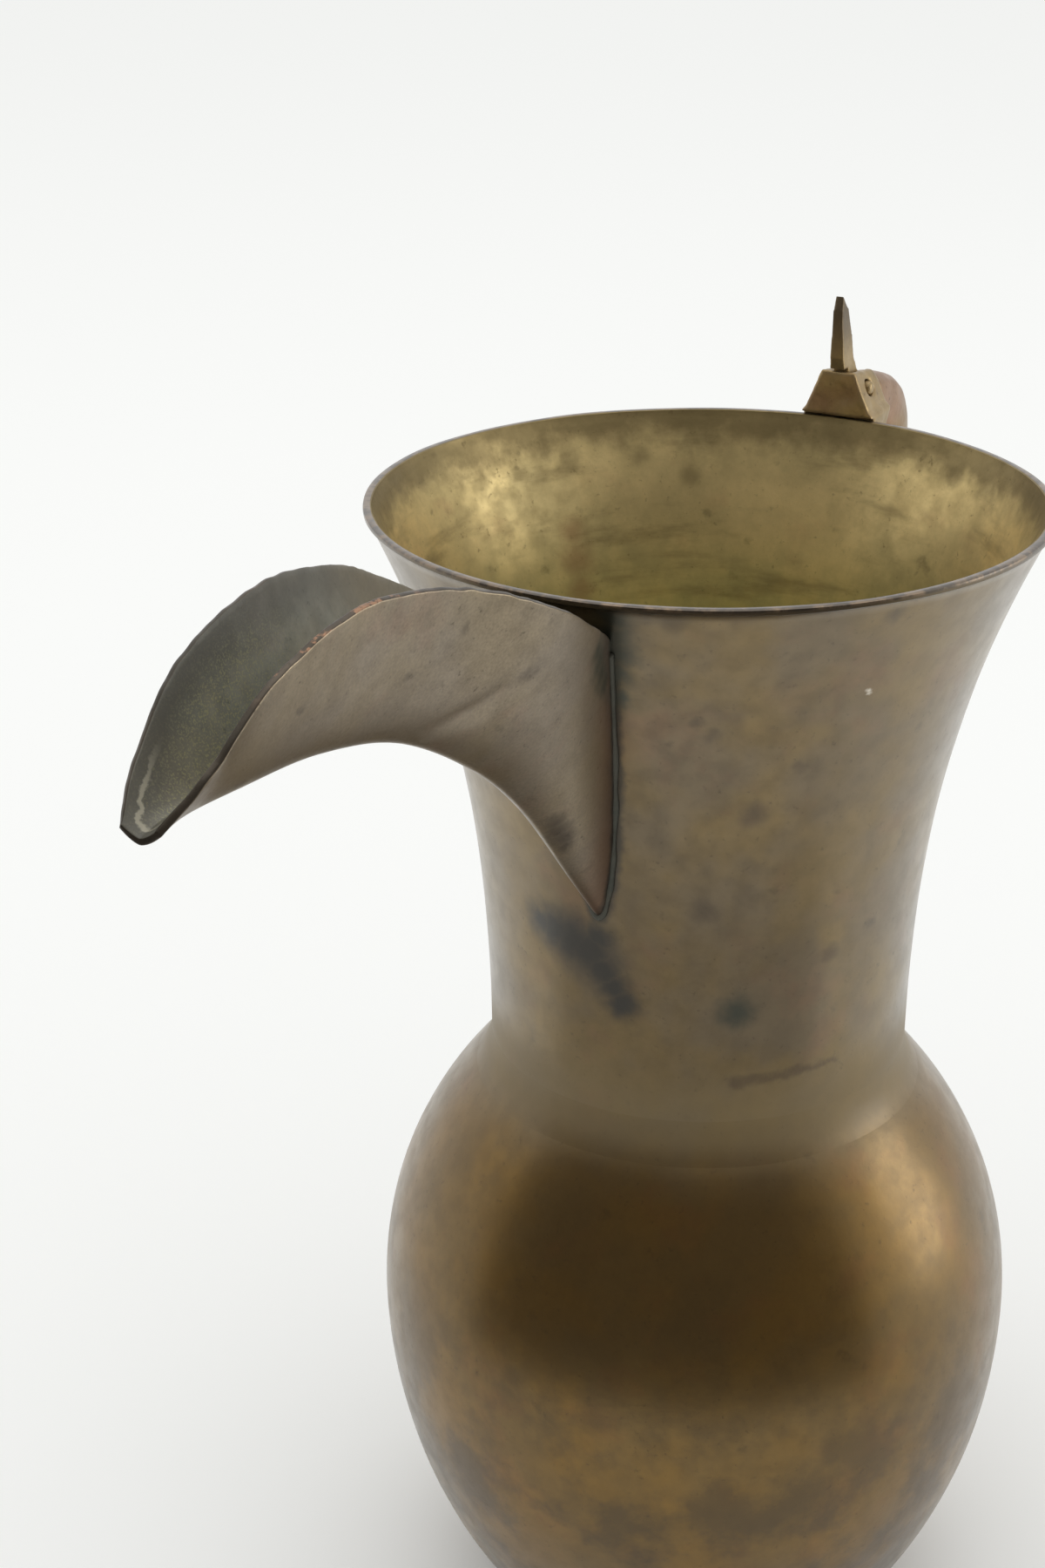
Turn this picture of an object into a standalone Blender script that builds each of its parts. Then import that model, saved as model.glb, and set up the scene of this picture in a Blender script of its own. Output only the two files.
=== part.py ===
"""Brass pitcher: a turned neck and belly, a folded beak spout soldered to the neck, and a handle whose
hinge lug still carries the thumb lever of a lost lid.

The axis of the vessel is Z and the table is z = 0. The spout points along +X and the handle along -X.
"""

import math

import bmesh
import bpy
from mathutils import Matrix, Vector

MM = 0.001

# Fits and facets
FIT_GAP = 0.3 * MM  # between soldered, brazed and riveted faces
RUN_GAP = 0.2 * MM  # around the hinge pin and the rivets
SIDE_GAP = 0.25 * MM  # each side of the thumb lever in its slot
BODY_FACETS = 48
SMALL_FACETS = 20
NECK_ROWS = 10
BELLY_ROWS = 7  # above and below the widest place

# Finishes: linear base colour and roughness
TARNISHED = ((0.26, 0.18, 0.11), 0.42)
CAST = ((0.33, 0.23, 0.13), 0.45)
COPPERY = ((0.36, 0.21, 0.13), 0.42)
SOLDER = ((0.12, 0.12, 0.11), 0.6)

# Vessel
RIM_HEIGHT = 186 * MM
RIM_RADIUS = 50 * MM
WAIST_HEIGHT = 95 * MM
WAIST_RADIUS = 0.646 * RIM_RADIUS
FLARE_POWER = 2.5
NECK_SKIRT = 5 * MM
BELLY_HEIGHT = 55 * MM
BELLY_RADIUS = RIM_RADIUS  # the belly is as wide as the mouth
BASE_RADIUS = 0.64 * BELLY_RADIUS
BASE_THICKNESS = 1.2 * MM
BASE_FLANGE = 5 * MM
WALL = 1.0 * MM
COLLAR_LAP = 1.5 * MM  # width of the belly's top edge around the neck
BRAZE_HEIGHT = 1.6 * MM

# Spout, from inside the neck to the tip, in mm: the keel's distance out from the waist and rise from the
# rim, then the lips' distance out, half width and rise
SPOUT_STATIONS = (
    (-3.3, -58.5, 8.7, 5.2, -9),
    (9.7, -44, 17.7, 8.2, -4),
    (23.7, -28.2, 27.7, 11.4, 1),
    (37.7, -16.8, 39.7, 12.4, 7.4),
    (55.7, -6.6, 55.7, 9.4, 14),
    (73.7, -1.5, 73.7, 7.3, 17.2),
    (90.7, 0.4, 90.7, 6.2, 14),
    (101.7, 1.2, 101.7, 4.7, 6.7),
    (107.9, 0.6, 107.9, 2.4, 1.9),
)
SHEET = 0.9 * MM
SECTION_POWER = 0.65  # half width grows with the height above the keel by this power
KEEL_CROWDING = 1.6  # draws the section's points towards the keel
SPOUT_ROWS = 26
SPOUT_COLUMNS = 14
BEAD_RADIUS = 0.65 * MM
BEAD_REACH = 0.95  # how far up the seam the solder bead runs
BEAD_POINTS = 12
BEAD_FACETS = 8

# Strainer holes in the neck wall behind the spout: rows from the top, some paired and the rest single
HOLE_RADIUS = 1.4 * MM
HOLE_DROP = 13 * MM  # from the rim to the first row
HOLE_PITCH = 5 * MM
HOLE_SPREAD = 2.4 * MM
HOLE_ROWS = 7
PAIRED_ROWS = (0, 2)

# Hinge lug that saddles the rim behind, in mm from the rim: its tail down the neck has a thickness and a
# half width at each height, its cheeks a half width
LUG_TAIL = ((-14, 2.9, 2.4), (-8, 4.7, 4.2), (-3, 7.2, 5.8))
LUG_CHEEKS = ((0.6, 6.2), (1.6, 5.3), (3.2, 4.6), (5.2, 3.7))
LUG_TOP_HALF = 2.75 * MM
LUG_TOP_FRONT = 7.6 * MM
LUG_TOP_BACK = 6.4 * MM
LUG_FRONT = 1.4 * MM  # how far its front face stands inside the rim's edge
LUG_WEB = 1.0 * MM  # closes its slot in front
LUG_BACK = 7 * MM  # how far its back face stands behind the rim's edge
SLOT_FLOOR = 1.3 * MM  # above the rim

# Thumb lever and its pin. The prong's points are in mm from the pin, forward and up
PIN_RADIUS = 1.1 * MM
PIN_DOME = 0.45 * MM  # its ends are peened flush with the cheeks
PIN_BEHIND_RIM = 2.8 * MM
PIN_ABOVE_RIM = 4.4 * MM
LEVER_THICKNESS = 2.8 * MM
LEVER_TIP_THICKNESS = 1.4 * MM
KNUCKLE_RADIUS = 2.8 * MM
PRONG_BACK = ((-0.9, 2.75), (0.3, 5.0), (1.1, 9.2), (2.4, 13.0))
PRONG_TIP = (4.4, 15.3)
PRONG_FRONT = ((5.0, 13.2), (5.0, 9.6), (4.9, 5.4), (4.4, 3.6), (2.8, 3.6), (2.7, 1.4))

# Handle, from the lug to inside the pad: how far along its drop, then in mm its bow out from the straight
# line between its ends, its half depth and its half width
HANDLE_LINE = (
    (0, 0, 4.4, 4.2),
    (0.0043, 5.4, 4.4, 4.3),
    (0.026, 10.2, 5.2, 4.4),
    (0.067, 13.2, 4.9, 4.4),
    (0.157, 15.6, 4.4, 4.4),
    (0.303, 19.6, 4.2, 4.5),
    (0.475, 21.6, 4.1, 4.5),
    (0.647, 20.3, 4.1, 4.2),
    (0.793, 15.6, 4.2, 3.6),
    (0.914, 8.3, 4.6, 3.4),
    (1, 0, 5.0, 3.4),
)
HANDLE_TOP = 1.0 * MM  # above the rim
HANDLE_OVERLAP = 1 * MM  # trimmed off at the lug
HANDLE_FOOT = 4 * MM  # below the pad's middle and inside its face, trimmed off at the pad
HANDLE_ROWS = 30
HANDLE_FACETS = 14
HANDLE_SQUARENESS = 3.0  # exponent of the section's rounded rectangle

# Pad that spreads the handle's foot over the belly, and its two rivets
PAD_HEIGHT = 0.8 * WAIST_HEIGHT
PAD_HALF_LENGTH = 16 * MM
PAD_HALF_WIDTH = 8.5 * MM
PAD_THICKNESS = 1.5 * MM
PAD_CELLS = 8
RIVET_SPREAD = 11.5 * MM  # along the belly, each way from the pad's middle
RIVET_RADIUS = 1.4 * MM
RIVET_HEAD_RADIUS = 2.4 * MM
RIVET_HEAD = 1.1 * MM
RIVET_TAIL_RADIUS = 2.0 * MM
RIVET_TAIL = 0.6 * MM
BURR_RADIUS = 2.9 * MM
BURR_THICKNESS = 0.8 * MM


# Modelling helpers


def clear_scene():
    for obj in list(bpy.data.objects):
        bpy.data.objects.remove(obj)


def metal(name, colour, roughness):
    material = bpy.data.materials.new(name)
    material.use_nodes = True
    shader = material.node_tree.nodes["Principled BSDF"]
    shader.inputs["Base Color"].default_value = (*colour, 1)
    shader.inputs["Metallic"].default_value = 1
    shader.inputs["Roughness"].default_value = roughness
    return material


def placed(name, bm, place):
    """Turns a bmesh into a named, smooth-shaded object at its place."""
    bmesh.ops.remove_doubles(bm, verts=bm.verts, dist=0.001 * MM)
    bmesh.ops.recalc_face_normals(bm, faces=bm.faces)
    mesh = bpy.data.meshes.new(name)
    bm.to_mesh(mesh)
    bm.free()
    mesh.shade_smooth()
    mesh.set_sharp_from_angle(angle=math.radians(35))
    obj = bpy.data.objects.new(name, mesh)
    bpy.context.scene.collection.objects.link(obj)
    obj.matrix_world = place
    return obj


def piece(name, bm, finish, place=Matrix.Identity(4)):
    obj = placed(name, bm, place)
    obj.data.materials.append(metal(name, *finish))
    return obj


def cutter(name, bm, place=Matrix.Identity(4)):
    obj = placed(name, bm, place)
    obj.hide_render = True
    obj.display_type = "WIRE"
    return obj


def cut(obj, tool):
    modifier = obj.modifiers.new("cut by " + tool.name, "BOOLEAN")
    modifier.operation = "DIFFERENCE"
    modifier.solver = "EXACT"
    modifier.object = tool


def thicken(obj, thickness, offset):
    solidify = obj.modifiers.new("sheet", "SOLIDIFY")
    solidify.thickness = thickness
    solidify.offset = offset


def spun(outline, facets, closed=True):
    """A bmesh turned about Z from (radius, height) points. An open outline starts and ends on the axis."""
    bm = bmesh.new()
    verts = [bm.verts.new((radius, 0, height)) for radius, height in outline]
    pairs = list(zip(verts, verts[1:]))
    if closed:
        pairs.append((verts[-1], verts[0]))
    edges = [bm.edges.new(pair) for pair in pairs]
    bmesh.ops.spin(bm, geom=verts + edges, axis=(0, 0, 1), cent=(0, 0, 0), steps=facets, angle=math.tau)
    return bm


def drill(radius, length, facets=SMALL_FACETS):
    """A bmesh rod along Z, centred on the origin."""
    bm = bmesh.new()
    bmesh.ops.create_cone(bm, cap_ends=True, segments=facets, radius1=radius, radius2=radius, depth=length)
    return bm


def loft(loops):
    """A bmesh skinned over closed loops of points, one after another, with both ends capped."""
    bm = bmesh.new()
    rings = []
    for loop in loops:
        verts = [bm.verts.new(point) for point in loop]
        rings.append([bm.edges.new(pair) for pair in zip(verts, verts[1:] + verts[:1])])
    for first, second in zip(rings, rings[1:]):
        bmesh.ops.bridge_loops(bm, edges=first + second)
    for ring in (rings[0], rings[-1]):
        bmesh.ops.holes_fill(bm, edges=ring, sides=0)
    return bm


def smooth_curve(points, count):
    """count + 1 points along a smooth curve through points of any number of values."""
    points = [Vector(point) for point in points]
    ends = [2 * points[0] - points[1]] + points + [2 * points[-1] - points[-2]]
    found = []
    for i in range(count + 1):
        place = i / count * (len(points) - 1)
        k = min(int(place), len(points) - 2)
        t = place - k
        a, b, c, d = ends[k : k + 4]
        bend = (2 * a - 5 * b + 4 * c - d) * t**2 + (3 * b - a - 3 * c + d) * t**3
        found.append(b + 0.5 * ((c - a) * t + bend))
    return found


def circle(radius, facets):
    """Points around Z at this radius."""
    angles = [math.tau * i / facets for i in range(facets)]
    return [Vector((radius * math.cos(angle), radius * math.sin(angle), 0)) for angle in angles]


def steps(low, high, count):
    """count + 1 even steps from low to high."""
    return [low + (high - low) * i / count for i in range(count + 1)]


# Outlines of the vessel

COLLAR_RADIUS = WAIST_RADIUS + FIT_GAP + COLLAR_LAP
BELLY_BOTTOM = BASE_THICKNESS + FIT_GAP


def neck_radius(z):
    """Outer radius of the neck: a straight waist that flares to the rim."""
    share = max(0, (z - WAIST_HEIGHT) / (RIM_HEIGHT - WAIST_HEIGHT))
    return WAIST_RADIUS + (RIM_RADIUS - WAIST_RADIUS) * share**FLARE_POWER


def belly_arc(z):
    """Radius of the arc from the belly's widest place to its collar, or to its base edge lower down."""
    upper = z >= BELLY_HEIGHT
    drop = BELLY_RADIUS - (COLLAR_RADIUS if upper else BASE_RADIUS)
    rise = (WAIST_HEIGHT if upper else BELLY_BOTTOM) - BELLY_HEIGHT
    return (rise**2 + drop**2) / (2 * drop)


def belly_radius(z):
    """Outer radius of the belly, round in profile above and below its widest place."""
    arc = belly_arc(z)
    return BELLY_RADIUS - arc + math.sqrt(arc**2 - (z - BELLY_HEIGHT) ** 2)


def inside_of(outer, z):
    """Inner radius of the wall whose outer radius is the function outer, measured square to its slope."""
    step = 0.01 * MM
    slope = (outer(z + step / 2) - outer(z - step / 2)) / step
    return outer(z) - WALL * math.hypot(1, slope)


def belly_inner(z):
    """Inner radius of the belly, which always lets the neck through."""
    return max(inside_of(belly_radius, z), WAIST_RADIUS + FIT_GAP if z > BELLY_HEIGHT else 0)


def belly_back(z, out):
    """A point of the symmetry plane this far out from the belly's back, and the outward normal there."""
    arc = belly_arc(z)
    rise = (z - BELLY_HEIGHT) / arc
    normal = Vector((-math.sqrt(1 - rise**2), 0, rise))
    return Vector((-belly_radius(z), 0, z)) + out * normal, normal


# Vessel pieces


def make_neck():
    heights = [WAIST_HEIGHT - NECK_SKIRT] + steps(WAIST_HEIGHT, RIM_HEIGHT, NECK_ROWS)
    outer = [(neck_radius(z), z) for z in reversed(heights)]
    inner = [(inside_of(neck_radius, z), z) for z in heights]
    neck = piece("neck_shell", spun(outer + inner, BODY_FACETS), TARNISHED)
    for row in range(HOLE_ROWS):
        z = RIM_HEIGHT - HOLE_DROP - row * HOLE_PITCH
        for y in (-HOLE_SPREAD, HOLE_SPREAD) if row in PAIRED_ROWS else (0,):
            place = Matrix.Translation((neck_radius(z), y, z)) @ Matrix.Rotation(math.pi / 2, 4, "Y")
            cut(neck, cutter("strainer_drill", drill(HOLE_RADIUS, WAIST_RADIUS, 12), place))


def make_belly():
    heights = steps(BELLY_BOTTOM, BELLY_HEIGHT, BELLY_ROWS)
    heights += steps(BELLY_HEIGHT, WAIST_HEIGHT, BELLY_ROWS)[1:]
    outer = [(belly_radius(z), z) for z in reversed(heights)]
    inner = [(belly_inner(z), z) for z in heights]
    return piece("belly_shell", spun(outer + inner, BODY_FACETS), TARNISHED)


def make_braze_fillet():
    """Braze metal in the corner where the neck enters the belly."""
    inside, low = WAIST_RADIUS + FIT_GAP, WAIST_HEIGHT + FIT_GAP
    outline = [(inside, low + BRAZE_HEIGHT), (inside + COLLAR_LAP / 3, low + BRAZE_HEIGHT / 3)]
    outline += [(inside + COLLAR_LAP, low), (inside, low)]
    piece("neck_braze_fillet", spun(outline, BODY_FACETS), TARNISHED)


def make_base():
    """Flat bottom plate with an upright flange just inside the belly's lower edge."""
    flange = belly_inner(BELLY_BOTTOM) - FIT_GAP
    top = BASE_THICKNESS + BASE_FLANGE
    outline = [(0, BASE_THICKNESS), (flange - WALL, BASE_THICKNESS), (flange - WALL, top), (flange, top)]
    outline += [(flange, BASE_THICKNESS), (BASE_RADIUS, BASE_THICKNESS), (BASE_RADIUS, 0), (0, 0)]
    piece("base_plate", spun(outline, BODY_FACETS, closed=False), TARNISHED)


def make_base_solder():
    """Solder run into the corner between the base plate's flange and the belly."""
    inside = belly_inner(BELLY_BOTTOM)
    low, top = BELLY_BOTTOM + 2 * FIT_GAP, BASE_THICKNESS + BASE_FLANGE
    outline = [(belly_inner(z) - 2 * FIT_GAP, z) for z in (top, (top + low) / 2, low + FIT_GAP)]
    outline += [(inside, low), (inside, top)]
    piece("base_solder_ring", spun(outline, BODY_FACETS), SOLDER)


def neck_clearance():
    """The solid that everything soldered to the neck is scribed to: the neck's outside plus the fit gap."""
    heights = steps(WAIST_HEIGHT, RIM_HEIGHT, NECK_ROWS)
    top = RIM_HEIGHT + FIT_GAP
    outline = [(0, top), (RIM_RADIUS + FIT_GAP, top)]
    outline += [(neck_radius(z) + FIT_GAP, z) for z in reversed(heights)] + [(0, WAIST_HEIGHT)]
    return cutter("neck_clearance", spun(outline, BODY_FACETS, closed=False))


# Spout


def spout_rows(count):
    """Keel x, keel z, lip x, lip half width and lip z along the spout."""
    start = Vector((WAIST_RADIUS, RIM_HEIGHT, WAIST_RADIUS, 0, RIM_HEIGHT))
    return smooth_curve([start + Vector(station) * MM for station in SPOUT_STATIONS], count)


def spout_point(row, side):
    """A point of the spout's middle surface: side runs from -1 at one lip over 0 at the keel to 1."""
    keel_x, keel_z, lip_x, half_width, lip_z = row
    height = abs(side) ** KEEL_CROWDING
    y = math.copysign(half_width * height**SECTION_POWER, side)
    return Vector((keel_x + (lip_x - keel_x) * height, y, keel_z + (lip_z - keel_z) * height))


def make_spout(clearance):
    rows = spout_rows(SPOUT_ROWS)
    bm = bmesh.new()
    bmesh.ops.create_grid(bm, x_segments=SPOUT_ROWS, y_segments=SPOUT_COLUMNS, size=1)
    for vert in bm.verts:
        row = rows[round((vert.co.x + 1) / 2 * SPOUT_ROWS)]
        vert.co = spout_point(row, vert.co.y)
    spout = piece("spout_beak", bm, TARNISHED)
    thicken(spout, SHEET, 0)
    cut(spout, clearance)


def seam_point(rows, side):
    """Where the spout's middle surface comes out of the neck on the line of this side value."""
    line = [spout_point(row, side) for row in rows]
    return next(point for point in line if math.hypot(point.x, point.y) >= neck_radius(point.z))


def make_bead():
    """Solder bead along the outside of the V-shaped seam between spout and neck."""
    rows = spout_rows(SPOUT_ROWS * 8)
    seam = [seam_point(rows, side) for side in steps(-BEAD_REACH, BEAD_REACH, 2 * BEAD_POINTS)]
    last = len(seam) - 1
    line = []
    for i, point in enumerate(seam):
        along = seam[min(i + 1, last)] - seam[max(i - 1, 0)]
        out = Vector((point.x, point.y, 0)).normalized()
        away = along.cross(out).normalized()
        line.append(point + out * (BEAD_RADIUS + FIT_GAP) + away * (BEAD_RADIUS + SHEET / 2 + 2 * FIT_GAP))
    loops = []
    for i, point in enumerate(line):
        along = line[min(i + 1, last)] - line[max(i - 1, 0)]
        frame = Matrix.Translation(point) @ along.to_track_quat("Z", "X").to_matrix().to_4x4()
        loops.append([frame @ corner for corner in circle(BEAD_RADIUS, BEAD_FACETS)])
    piece("spout_solder_bead", loft(loops), SOLDER)


# Hinge

PIN_PLACE = Matrix.Translation((-(RIM_RADIUS + PIN_BEHIND_RIM), 0, RIM_HEIGHT + PIN_ABOVE_RIM))
ACROSS = Matrix.Rotation(math.pi / 2, 4, "X")  # lays a turned piece along Y


def pin_drill(name):
    return cutter(name, drill(PIN_RADIUS + RUN_GAP, RIM_RADIUS), PIN_PLACE @ ACROSS)


def lug_half_width(rise):
    """Half width of the lug's cheeks at this height above the rim."""
    levels = [(height * MM, half * MM) for height, half in LUG_CHEEKS] + [(LUG_TOP_FRONT, LUG_TOP_HALF)]
    for (low, low_half), (high, high_half) in zip(levels, levels[1:]):
        if rise <= high:
            return low_half + (high_half - low_half) * max(0, rise - low) / (high - low)
    return LUG_TOP_HALF


def make_lug(clearance):
    """Cast fork that saddles the rim: broad where it meets the rim, with a tail down the neck."""
    loops = []
    for height, thickness, half in LUG_TAIL:
        z = RIM_HEIGHT + height * MM
        inside, back, y = -neck_radius(z) + 2 * WALL, -neck_radius(z) - thickness * MM, half * MM
        loops.append([(inside, -y, z), (inside, y, z), (back, y, z), (back, -y, z)])
    front, back = -RIM_RADIUS + LUG_FRONT, -RIM_RADIUS - LUG_BACK
    levels = [(height * MM, height * MM, half * MM) for height, half in LUG_CHEEKS]
    for front_rise, back_rise, y in levels + [(LUG_TOP_FRONT, LUG_TOP_BACK, LUG_TOP_HALF)]:
        front_z, back_z = RIM_HEIGHT + front_rise, RIM_HEIGHT + back_rise
        loops.append([(front, -y, front_z), (front, y, front_z), (back, y, back_z), (back, -y, back_z)])
    lug = piece("hinge_lug", loft(loops), CAST)
    cut(lug, clearance)
    cut(lug, lug_slot())
    cut(lug, pin_drill("lug_pin_drill"))


def lug_slot():
    """The slot between the lug's cheeks, open on top and behind and closed in front by a web."""
    low, high = RIM_HEIGHT + SLOT_FLOOR, RIM_HEIGHT + 2 * LUG_TOP_FRONT
    front, back = -RIM_RADIUS + LUG_FRONT - LUG_WEB, -RIM_RADIUS - 2 * LUG_BACK
    bm = bmesh.new()
    size = Matrix.Diagonal((front - back, LEVER_THICKNESS + 2 * SIDE_GAP, high - low, 1))
    bmesh.ops.create_cube(bm, size=1, matrix=size)
    return cutter("lug_slot", bm, Matrix.Translation(((front + back) / 2, 0, (low + high) / 2)))


def make_lever():
    """Thumb lever: a round knuckle on the pin that rises into a pointed prong, thinner towards its tip.
    Its origin is on the pin's axis."""
    turns = [math.radians(angle) for angle in range(-40, 191, 21)]
    knuckle = [(-KNUCKLE_RADIUS * math.cos(turn), -KNUCKLE_RADIUS * math.sin(turn)) for turn in turns]
    prong = [Vector(point) * MM for point in (*PRONG_BACK, PRONG_TIP, *PRONG_FRONT)]
    tip_height = PRONG_TIP[1] * MM
    loops = []
    for side in (-1, 1):
        loop = []
        for x, z in prong + knuckle[::-1]:
            share = min(1, max(0, z / tip_height))
            thickness = LEVER_THICKNESS + (LEVER_TIP_THICKNESS - LEVER_THICKNESS) * share
            loop.append((x, side * thickness / 2, z))
        loops.append(loop)
    lever = piece("thumb_lever", loft(loops), CAST, PIN_PLACE)
    cut(lever, pin_drill("lever_pin_drill"))


def make_pin():
    """Hinge pin peened flush with both cheeks of the lug."""
    end = lug_half_width(PIN_ABOVE_RIM)
    half = [(PIN_RADIUS, end), (PIN_RADIUS * 0.7, end + PIN_DOME * 0.7), (0, end + PIN_DOME)]
    outline = half[::-1] + [(radius, -z) for radius, z in half]
    piece("hinge_pin", spun(outline, SMALL_FACETS, closed=False), CAST, PIN_PLACE @ ACROSS)


# Handle


def handle_section(depth, width):
    """Corners of a rounded rectangle as (depth, width) pairs."""
    power = HANDLE_SQUARENESS
    corners = []
    for turn in circle(1, HANDLE_FACETS):
        size = (abs(turn.x) ** power + abs(turn.y) ** power) ** (-1 / power)
        corners.append((depth * turn.x * size, width * turn.y * size))
    return corners


def make_handle():
    """Cast handle: a rounded bar from the lug's back face down to the pad on the belly."""
    top = Vector((-RIM_RADIUS - LUG_BACK + HANDLE_OVERLAP, 0, RIM_HEIGHT + HANDLE_TOP))
    middle, normal = belly_back(PAD_HEIGHT, 0)
    foot = middle + Vector((HANDLE_FOOT, 0, -HANDLE_FOOT))
    rows = []
    for share, bow, depth, width in HANDLE_LINE:
        rows.append((*top.lerp(foot, share) - Vector((bow * MM, 0, 0)), depth * MM, width * MM))
    rows = smooth_curve(rows, HANDLE_ROWS)
    loops = []
    for i, row in enumerate(rows):
        along = rows[min(i + 1, HANDLE_ROWS)] - rows[max(i - 1, 0)]
        deep = Vector((0, 1, 0)).cross(Vector(along[:3]).normalized())
        centre, depth, width = Vector(row[:3]), row[3], row[4]
        loops.append([centre + deep * v + Vector((0, w, 0)) for v, w in handle_section(depth, width)])
    handle = piece("handle_bar", loft(loops), COPPERY)
    cut(handle, belly_clearance(PAD_THICKNESS + 2 * FIT_GAP))
    cut(handle, lug_clearance())


def belly_clearance(out):
    """The belly's outside grown by the pad, which the handle's foot is scribed to."""
    outline = [(0, WAIST_HEIGHT)]
    for z in reversed(steps(BELLY_BOTTOM, WAIST_HEIGHT, 2 * BELLY_ROWS)):
        point, normal = belly_back(z, out)
        outline.append((-point.x, point.z))
    return cutter("belly_clearance", spun(outline + [(0, BELLY_BOTTOM)], BODY_FACETS, closed=False))


def lug_clearance():
    """Trims the handle's top end square, just behind the lug's back face."""
    size = 4 * LUG_TOP_FRONT
    bm = bmesh.new()
    bmesh.ops.create_cube(bm, size=size)
    back = RIM_RADIUS + LUG_BACK + FIT_GAP
    return cutter("lug_clearance", bm, Matrix.Translation((size / 2 - back, 0, RIM_HEIGHT)))


def pad_height(along):
    """Height of the belly's point this far along its profile above the pad's middle."""
    arc = belly_arc(PAD_HEIGHT)
    return BELLY_HEIGHT + arc * math.sin(math.asin((PAD_HEIGHT - BELLY_HEIGHT) / arc) + along / arc)


def make_pad():
    """Oval pad bent to the belly under the handle's foot."""
    bm = bmesh.new()
    bmesh.ops.create_grid(bm, x_segments=PAD_CELLS, y_segments=PAD_CELLS, size=1)
    for vert in bm.verts:
        u, v = vert.co.xy
        around = PAD_HALF_WIDTH * u * math.sqrt(1 - v * v / 2)
        along = PAD_HALF_LENGTH * v * math.sqrt(1 - u * u / 2)
        point, normal = belly_back(pad_height(along), FIT_GAP + PAD_THICKNESS / 2)
        vert.co = Matrix.Rotation(around / belly_radius(PAD_HEIGHT), 3, "Z") @ point
    pad = piece("handle_pad", bm, COPPERY)
    thicken(pad, PAD_THICKNESS, 0)
    return pad


def rivet_place(along):
    """Frame of a rivet: Z points outwards from the belly's outer face this far along the pad."""
    point, normal = belly_back(pad_height(along), 0)
    return Matrix.Translation(point) @ normal.to_track_quat("Z", "Y").to_matrix().to_4x4()


def make_rivet(name, along):
    """Rivet through pad and belly, with a domed head outside and a tail peened over its burr inside."""
    under = FIT_GAP + PAD_THICKNESS + FIT_GAP
    tail = -(WALL + FIT_GAP + BURR_THICKNESS + FIT_GAP)
    outline = [(0, under + RIVET_HEAD), (RIVET_HEAD_RADIUS * 0.7, under + RIVET_HEAD * 0.75)]
    outline += [(RIVET_HEAD_RADIUS, under), (RIVET_RADIUS, under), (RIVET_RADIUS, tail)]
    outline += [(RIVET_TAIL_RADIUS, tail), (RIVET_RADIUS, tail - RIVET_TAIL), (0, tail - RIVET_TAIL)]
    piece(name, spun(outline, SMALL_FACETS, closed=False), COPPERY, rivet_place(along))


def make_burr(name, along):
    """Washer between the belly's inner face and a rivet's tail."""
    top = -(WALL + FIT_GAP)
    low, hole = top - BURR_THICKNESS, RIVET_RADIUS + RUN_GAP
    outline = [(BURR_RADIUS, top), (BURR_RADIUS, low), (hole, low), (hole, top)]
    piece(name, spun(outline, SMALL_FACETS), COPPERY, rivet_place(along))


def main():
    clear_scene()
    make_neck()
    belly = make_belly()
    make_braze_fillet()
    make_base()
    make_base_solder()

    clearance = neck_clearance()
    make_spout(clearance)
    make_bead()
    make_lug(clearance)
    make_lever()
    make_pin()

    make_handle()
    pad = make_pad()
    for end, along in (("upper", RIVET_SPREAD), ("lower", -RIVET_SPREAD)):
        bit = drill(RIVET_RADIUS + RUN_GAP, 10 * (PAD_THICKNESS + WALL))
        tool = cutter(end + "_rivet_drill", bit, rivet_place(along))
        cut(belly, tool)
        cut(pad, tool)
        make_rivet(end + "_pad_rivet", along)
        make_burr(end + "_rivet_burr", along)


main()
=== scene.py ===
"""Brass pitcher dressed for close views: turned neck and belly, folded beak spout with its solder, and the
cast lug, lever and handle, all in old tarnished brass.

Metres, with the vessel's axis on Z and the table at z = 0. The spout points along +X, the handle along -X.
"""

import math

import bpy
from mathutils import Matrix, Vector, noise
from mathutils.kdtree import KDTree


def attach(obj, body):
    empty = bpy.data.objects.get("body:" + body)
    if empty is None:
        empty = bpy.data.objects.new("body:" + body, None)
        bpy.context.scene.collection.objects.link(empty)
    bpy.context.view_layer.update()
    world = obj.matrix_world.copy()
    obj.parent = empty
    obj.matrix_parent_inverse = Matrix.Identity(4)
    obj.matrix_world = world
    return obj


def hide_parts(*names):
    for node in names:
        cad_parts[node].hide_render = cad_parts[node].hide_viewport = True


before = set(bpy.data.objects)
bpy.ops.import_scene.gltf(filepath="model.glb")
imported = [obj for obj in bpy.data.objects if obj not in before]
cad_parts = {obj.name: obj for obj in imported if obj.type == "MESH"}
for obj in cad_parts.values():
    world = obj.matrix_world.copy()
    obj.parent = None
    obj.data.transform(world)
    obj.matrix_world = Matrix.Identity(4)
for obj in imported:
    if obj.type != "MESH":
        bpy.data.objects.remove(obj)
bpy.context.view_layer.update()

MM = 0.001

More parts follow.
